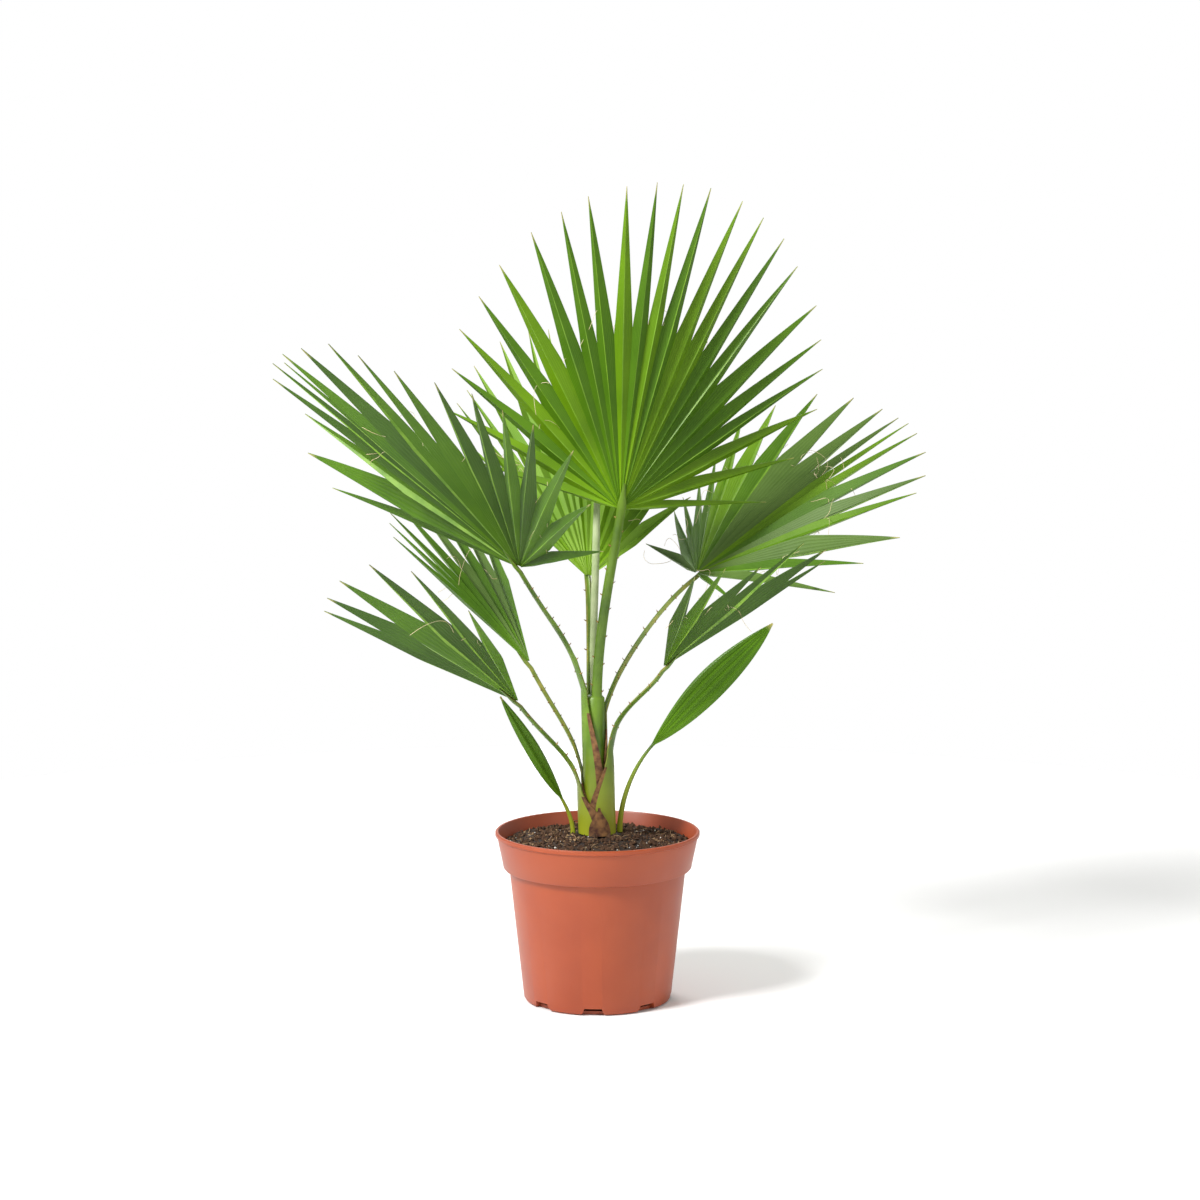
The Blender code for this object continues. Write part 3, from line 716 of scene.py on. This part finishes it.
def costa(surface, radius, width):
    """The stalk's end, which runs in under its fan."""
    angle = math.asin(width * MM / 2 / radius)
    drop = COSTA_SINK + radius - (radius - STALK_THICK) * math.cos(angle)
    near = surface.hub - surface.aim * COSTA_START - surface.upper * drop
    side = (-surface.upper).cross(surface.aim)
    rings = []
    for out, share in COSTA:
        middle = surface.hub + surface.aim * out * MM - surface.upper * mix(COSTA_SINK, drop, share)
        rings.append(crescent(middle, -surface.upper, side, radius * share, angle, STALK_THICK * share))
    return near, rings


def sheath_rings(stalk, narrow):
    """A sheath from its foot up to where it is narrow, as half an angle round the stem."""
    outward = direction(stalk.turn, 0)
    side = outward.cross(Vector((0, 0, 1)))
    wrap = stalk.wrap * MM
    rings = []
    for k in range(SHEATH_RINGS):
        t = k / (SHEATH_RINGS - 1)
        middle = stem_axis(mix(stalk.foot, stalk.leave, t) * MM) + outward * wrap
        half = mix(math.radians(stalk.spread), narrow, smooth(t ** 1.5))
        rings.append(crescent(middle, outward, side, wrap, half, SHEATH_THICK))
    return rings


def teeth(build, rings, spacing, skip=0):
    """Small hooked teeth along both margins of a stalk."""
    count = len(rings[0]) // 2
    for margin, partner in ((0, 1), (count - 1, count - 2)):
        travelled = rng.uniform(0, spacing * MM)
        for a, b in zip(rings[skip:], rings[skip + 1:]):
            travelled += (b[margin] - a[margin]).length
            if travelled < spacing * MM:
                continue
            travelled = rng.uniform(-0.3, 0.2) * spacing * MM
            outward = (a[margin] - a[partner]).normalized()
            along = (b[margin] - a[margin]).normalized()
            root = a[margin]
            long = rng.uniform(*TOOTH_LENGTHS) * MM
            path = [root - outward * TOOTH_ROOT, root + outward * long * 0.55 + along * long * 0.15,
                    root + outward * long + along * long * 0.55]
            build.tube(path, TOOTH_RADII, "tooth", 5)


def sheathed_stalk(name, stalk, fan, materials):
    """A stalk with its sheath. Above the sheath its section grows rounder and thicker, and turns
    until it faces out from under the fan."""
    surface = Surface(fan)
    outward = direction(stalk.turn, 0)
    wrap = stalk.wrap * MM
    sheath = sheath_rings(stalk, math.asin(stalk.width[0] / 2 / stalk.wrap))
    start = stem_axis(stalk.leave * MM) + outward * wrap
    finish, last = costa(surface, STALK_ROUND, stalk.width[1])
    length = (finish - start).length
    ending = surface.aim.lerp((finish - start).normalized(), stalk.swing).normalized()
    path = (start, start + direction(stalk.turn, 90 - stalk.tilt) * length * stalk.arms[0],
            finish - ending * length * stalk.arms[1], finish)
    rings = stalk_rings(
        path, stalk.width,
        lambda t: mix(wrap, STALK_ROUND, smooth(t * 3.5)),
        lambda t: mix(SHEATH_THICK, STALK_THICK, smooth(t * 3 - 0.3)),
        lambda t: outward.lerp(-surface.upper, smooth(t * 1.6)), steps=34)
    build = Build()
    build.loft(sheath + rings + last, "stalk", "stalk_edge", len(sheath) - GREEN_RINGS)
    teeth(build, rings, DRESS[name].teeth, skip=3)
    build.done("petiole_" + name, materials, ["stalk_" + name], "stalk", 50)


def inner_stalk(name, foot, widths, fan, materials):
    """A stalk that rises from the top of the stem."""
    surface = Surface(fan)
    upright = Vector((0, 0, 1))
    start = Vector((foot[0] * MM, foot[1] * MM, STEM_TOP + GAP))
    finish, last = costa(surface, INNER_ROUND, widths[1])
    length = (finish - start).length
    path = (start, start + upright * length * 0.35, finish - surface.aim * length * 0.2, finish)
    outward = -surface.upper
    flat = (outward - Vector((0, 0, outward.z))).normalized()
    half_angle = math.asin(widths[0] * MM / 2 / INNER_ROUND)
    first = crescent(start, flat, flat.cross(upright), INNER_ROUND, half_angle, STALK_THICK)
    rings = stalk_rings(
        path, widths, lambda t: INNER_ROUND, lambda t: STALK_THICK, lambda t: outward, steps=30)
    build = Build()
    build.loft([first] + rings + last, "stalk", "stalk_edge")
    teeth(build, rings, DRESS[name].teeth)
    build.done("petiole_" + name, materials, ["stalk_" + name], "stalk", 50)


def strap_stalk(name, strap, materials):
    """The thin round stalk of a first leaf."""
    start = Vector(strap.soil) * MM
    foot, _, aim, upper = strap_axes(strap)
    finish = foot + aim * 4 * MM - upper * 1.0 * MM
    length = (finish - start).length
    path = (start, start + Vector((0, 0, 1)) * length * 0.35, finish - aim * length * 0.3, finish)
    steps = 16
    points = [bezier(path, k / steps) for k in range(steps + 1)]
    radii = [mix(strap.stalk[0], strap.stalk[1], k / steps) * MM / 2 for k in range(steps + 1)]
    build = Build()
    build.tube(points, radii, "stalk", 12)
    build.done("petiole_" + name, materials, ["stalk_" + name], "stalk", 60)


def limb(name, stations, materials, kind, replaced, slot, sides=24, ridges=0.0):
    """An upright limb with a round section, or one with ridges along it."""
    build = Build()
    rings = []
    for centre, radius in stations:
        radii = [radius * (1 + ridges * (k % 2)) for k in range(sides)]
        rings.append([Vector(centre) + polar(r, 2 * math.pi * k / sides) for k, r in enumerate(radii)])
    build.loft(rings, kind)
    build.done(name, materials, replaced, slot, 60)


def heart(materials):
    """The stem inside its sheaths, with a rounded top."""
    stations = [(stem_axis(mix(STEM_FOOT, STEM_TOP, k / 6)), STEM_RADIUS) for k in range(7)]
    for rise, share in ((2, 0.8), (4, 0.4)):
        stations.append((stem_axis(STEM_TOP + rise * MM), share * STEM_RADIUS))
    limb("heart", stations, materials, "stalk", ["stem"], "stalk")


def closed_leaf(materials):
    stations = [(Vector(centre) * MM, radius * MM) for centre, radius in SPEAR]
    limb("closed_leaf", stations, materials, "spear", ["spear"], "young_leaf", SPEAR_SIDES, SPEAR_RIDGES)


def rag(materials):
    build = Build()
    build.loft(sheath_rings(OLD_SHEATH, math.radians(OLD_SHEATH_END)), "dry")
    build.done("rag", materials, ["old_sheath"], "dry_sheath", 50)


# Pot and soil

def lathe(name, profile, steps, material):
    bm = bmesh.new()
    verts = [bm.verts.new((x, 0, z)) for x, z in profile]
    edges = [bm.edges.new(pair) for pair in zip(verts, verts[1:])]
    bmesh.ops.spin(bm, geom=verts + edges, cent=(0, 0, 0), axis=(0, 0, 1), angle=2 * math.pi, steps=steps)
    bmesh.ops.remove_doubles(bm, verts=bm.verts, dist=0.01 * MM)
    bmesh.ops.recalc_face_normals(bm, faces=bm.faces)
    mesh = bpy.data.meshes.new(name)
    bm.to_mesh(mesh)
    bm.free()
    mesh.materials.append(material)
    mesh.polygons.foreach_set("use_smooth", [True] * len(mesh.polygons))
    return add_object(name, mesh)


def pot_profile():
    """Half the pot's section: from the middle of its underside up the outside, and down the inside."""
    foot, body = POT_BODY_FOOT_RADIUS, POT_BODY_TOP_RADIUS
    band, rim = POT_BAND_FOOT_RADIUS, POT_RIM_RADIUS
    slope = (body - foot) / POT_BAND_BOTTOM
    lip = POT_HEIGHT - POT_LIP_HEIGHT
    outside = [
        (0.0, 0.0),
        (foot - POT_FOOT_ROUNDING, 0.0),
        (foot - POT_FOOT_ROUNDING * 0.3, POT_FOOT_ROUNDING * 0.3),
        (foot + slope * POT_FOOT_ROUNDING, POT_FOOT_ROUNDING),
        (body, POT_BAND_BOTTOM - 1.5 * MM),
        (band - 1 * MM, POT_BAND_BOTTOM - 0.6 * MM),
        (band, POT_BAND_BOTTOM + 0.6 * MM),
        (rim - POT_LIP_PROUD, lip),
        (rim, lip + 0.8 * MM),
        (rim, POT_HEIGHT - 1 * MM),
        (rim - 1 * MM, POT_HEIGHT)]
    inside = [
        (rim - 2.6 * MM, POT_HEIGHT),
        (rim - 3.4 * MM, POT_HEIGHT - 1.2 * MM),
        (band - POT_WALL, POT_BAND_BOTTOM),
        (body - POT_WALL, POT_BAND_BOTTOM - 3 * MM),
        (foot - POT_WALL - 1 * MM, POT_FLOOR + 2 * MM),
        (foot - POT_WALL - 3 * MM, POT_FLOOR),
        (0.0, POT_FLOOR)]
    return outside + inside


def notch_wedges():
    """The wedges that are cut out of the pot's foot, as one mesh."""
    bm = bmesh.new()
    for k in range(NOTCHES):
        turn = -math.pi / 2 + 2 * math.pi * k / NOTCHES - NOTCH_TURN
        outward = polar(1, turn)
        side = Vector((-outward.y, outward.x, 0))
        rings = []
        for radius in (POT_BODY_FOOT_RADIUS - NOTCH_DEPTH, POT_BODY_FOOT_RADIUS + NOTCH_PAST):
            rings.append([bm.verts.new(outward * radius + side * x * NOTCH_WIDTH + Vector((0, 0, z)))
                          for x, z in NOTCH_SECTION])
        a, b = rings
        bm.faces.new(a)
        bm.faces.new(b)
        for i in range(4):
            bm.faces.new((a[i], a[(i + 1) % 4], b[(i + 1) % 4], b[i]))
    bmesh.ops.recalc_face_normals(bm, faces=bm.faces)
    mesh = bpy.data.meshes.new("notches")
    bm.to_mesh(mesh)
    bm.free()
    return add_object("notches", mesh)


def pot(materials):
    body = lathe("nursery_pot", pot_profile(), POT_SIDES, materials["pot"])
    wedges = notch_wedges()
    cut = body.modifiers.new("notches", "BOOLEAN")
    cut.operation = "DIFFERENCE"
    cut.solver = "EXACT"
    cut.object = wedges
    done = bpy.data.meshes.new_from_object(body.evaluated_get(bpy.context.evaluated_depsgraph_get()))
    body.modifiers.clear()
    body.data = done
    bpy.data.objects.remove(wedges, do_unlink=True)
    done.set_sharp_from_angle(angle=math.radians(32))
    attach(body, "root")
    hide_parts("pot")


def uneven(place, height_and_scale):
    height, scale = height_and_scale
    return height * noise.noise(place * scale)


def soil_height(radius, turn):
    """Heaped round the stem, lower along the wall, with a hollow behind on the right."""
    t = (radius - SOIL_HEAP_RADIUS * 0.7) / (POT_RIM_RADIUS - SOIL_HEAP_RADIUS)
    place = polar(radius, turn)
    height = mix(SOIL_TOP, SOIL_EDGE, smooth(t)) - SOIL_LUMPS[0] / 2
    height += uneven(place, SOIL_LUMPS) + uneven(place, SOIL_ROUGHNESS)
    dip = (place - HOLLOW_PLACE).length / HOLLOW_RADIUS
    return height - HOLLOW_DEPTH * math.exp(-dip * dip)


def soil(materials):
    """The soil's surface, and a plain underside hidden in the pot."""
    build = Build()
    rings, sides = SOIL_RINGS, SOIL_SIDES
    turns = [2 * math.pi * k / sides for k in range(sides)]
    for r in range(rings + 1):
        radius = SOIL_RADIUS * (r / rings) + 0.2 * MM
        build.points += [polar(radius, turn, soil_height(radius, turn)) for turn in turns]
    build.points += [polar(SOIL_RADIUS - SOIL_TAPER, turn, POT_BAND_BOTTOM) for turn in turns]
    for r in range(rings + 1):
        for k in range(sides):
            a, b = r * sides, (r + 1) * sides
            j = (k + 1) % sides
            build.face((a + k, b + k, b + j, a + j), "soil")
    build.face(tuple(reversed(range(sides))), "soil")
    build.face(tuple((rings + 1) * sides + k for k in range(sides)), "soil")
    build.done("soil_surface", materials, ["soil"], "soil", 180, False)


def soil_place(shares):
    """A random place on the soil, its limits given as shares of the rim's area."""
    radius = math.sqrt(rng.uniform(*shares)) * POT_RIM_RADIUS
    turn = rng.uniform(0, 2 * math.pi)
    return radius, turn


def lump(build, centre, size, name):
    """A grain: eight faces round six corners, each moved a little."""
    start = len(build.points)
    for corner in LUMP_CORNERS:
        stretch = rng.uniform(0.6, 1.2)
        jitter = Vector((rng.uniform(-0.3, 0.3), rng.uniform(-0.3, 0.3), rng.uniform(-0.3, 0.3)))
        build.points.append(centre + (Vector(corner) * stretch + jitter) * size)
    for face in LUMP_FACES:
        build.face([start + k for k in face], name)


def scatter(materials):
    """Crumbs, perlite grains and root fibres lying on the soil."""
    build = Build()
    for kind, count, small, large in GRAINS:
        for _ in range(count):
            radius, turn = soil_place(GRAIN_SHARES)
            size = rng.uniform(small, large) * MM
            height = min(soil_height(radius, turn) + size * 0.35, GRAIN_CEILING)
            lump(build, polar(radius, turn, height), size, kind)
    for _ in range(ROOTS):
        radius, turn = soil_place(ROOT_SHARES)
        start = polar(radius, turn, soil_height(radius, turn) + 0.8 * MM)
        low, high = start.z - 1 * MM, start.z + 2 * MM
        heading = Vector((rng.gauss(0, 1), rng.gauss(0, 1), 0.05))
        line = thread(start, heading, rng.uniform(*ROOT_LENGTHS) * MM)
        path = [Vector((p.x, p.y, max(min(p.z, high), low))) for p in line]
        build.tube(path, [ROOT_RADIUS] * len(path), "crumb_light", 4)
    build.done("soil_grains", materials, (), "soil", 30)


# Light, floor and camera

def make_floor():
    mesh = bpy.data.meshes.new("floor")
    turns = [2 * math.pi * k / FLOOR_SIDES for k in range(FLOOR_SIDES)]
    mesh.from_pydata([polar(FLOOR_RADIUS, turn) for turn in turns], [], [tuple(range(FLOOR_SIDES))])
    material, _, shader = principled("floor", 0.9)
    shader.inputs["Base Color"].default_value = FLOOR_WHITE
    mesh.materials.append(material)
    floor = add_object("floor", mesh)
    floor.location.z = -FLOOR_DROP
    return floor


def make_world():
    """Even daylight from all round. The camera itself sees a plain white backdrop."""
    world = bpy.data.worlds.new("studio")
    world.use_nodes = True
    nodes, links = world.node_tree.nodes, world.node_tree.links
    ambient = nodes["Background"]
    ambient.inputs["Color"].default_value = DAYLIGHT
    ambient.inputs["Strength"].default_value = DAYLIGHT_STRENGTH
    backdrop = nodes.new("ShaderNodeBackground")
    backdrop.inputs["Color"].default_value = (1.0, 1.0, 1.0, 1.0)
    seen = nodes.new("ShaderNodeLightPath")
    either = nodes.new("ShaderNodeMixShader")
    links.new(seen.outputs["Is Camera Ray"], either.inputs[0])
    links.new(ambient.outputs[0], either.inputs[1])
    links.new(backdrop.outputs[0], either.inputs[2])
    links.new(either.outputs[0], nodes["World Output"].inputs["Surface"])
    bpy.context.scene.world = world
    bpy.context.scene.view_settings.view_transform = "Standard"


def make_lamp(name, place, power, size):
    lamp = bpy.data.lights.new(name, "AREA")
    lamp.energy = power
    lamp.size = size
    obj = add_object(name, lamp)
    obj.location = place
    obj.rotation_euler = (Vector(place) - LAMP_TARGET).to_track_quat("Z", "Y").to_euler()
    return obj


def studio():
    floor = make_floor()
    make_world()
    lights = [make_lamp(*lamp) for lamp in LAMPS]


def camera():
    """A long lens a little above the crown, tilted down."""
    lens = bpy.data.cameras.new("camera")
    lens.lens = LENS
    lens.sensor_width = SENSOR
    obj = add_object("camera", lens)
    obj.location = CAMERA_PLACE
    obj.rotation_euler = (math.radians(90 - CAMERA_PITCH), 0, 0)
    bpy.context.scene.camera = obj


def main():
    materials = make_materials()
    pot(materials)
    soil(materials)
    scatter(materials)
    heart(materials)
    closed_leaf(materials)
    threads = Build()
    for name, fan in FANS.items():
        fan_leaf(name, fan, materials, threads)
    for name, stalk in STALKS.items():
        sheathed_stalk(name, stalk, FANS[name], materials)
    for name, (foot, widths) in INNER_STALKS.items():
        inner_stalk(name, foot, widths, FANS[name], materials)
    for name, strap in STRAPS.items():
        strap_leaf(name, strap, materials)
        strap_stalk(name, strap, materials)
    rag(materials)
    threads.done("threads", materials, (), "leaf", 60)
    studio()
    camera()


main()
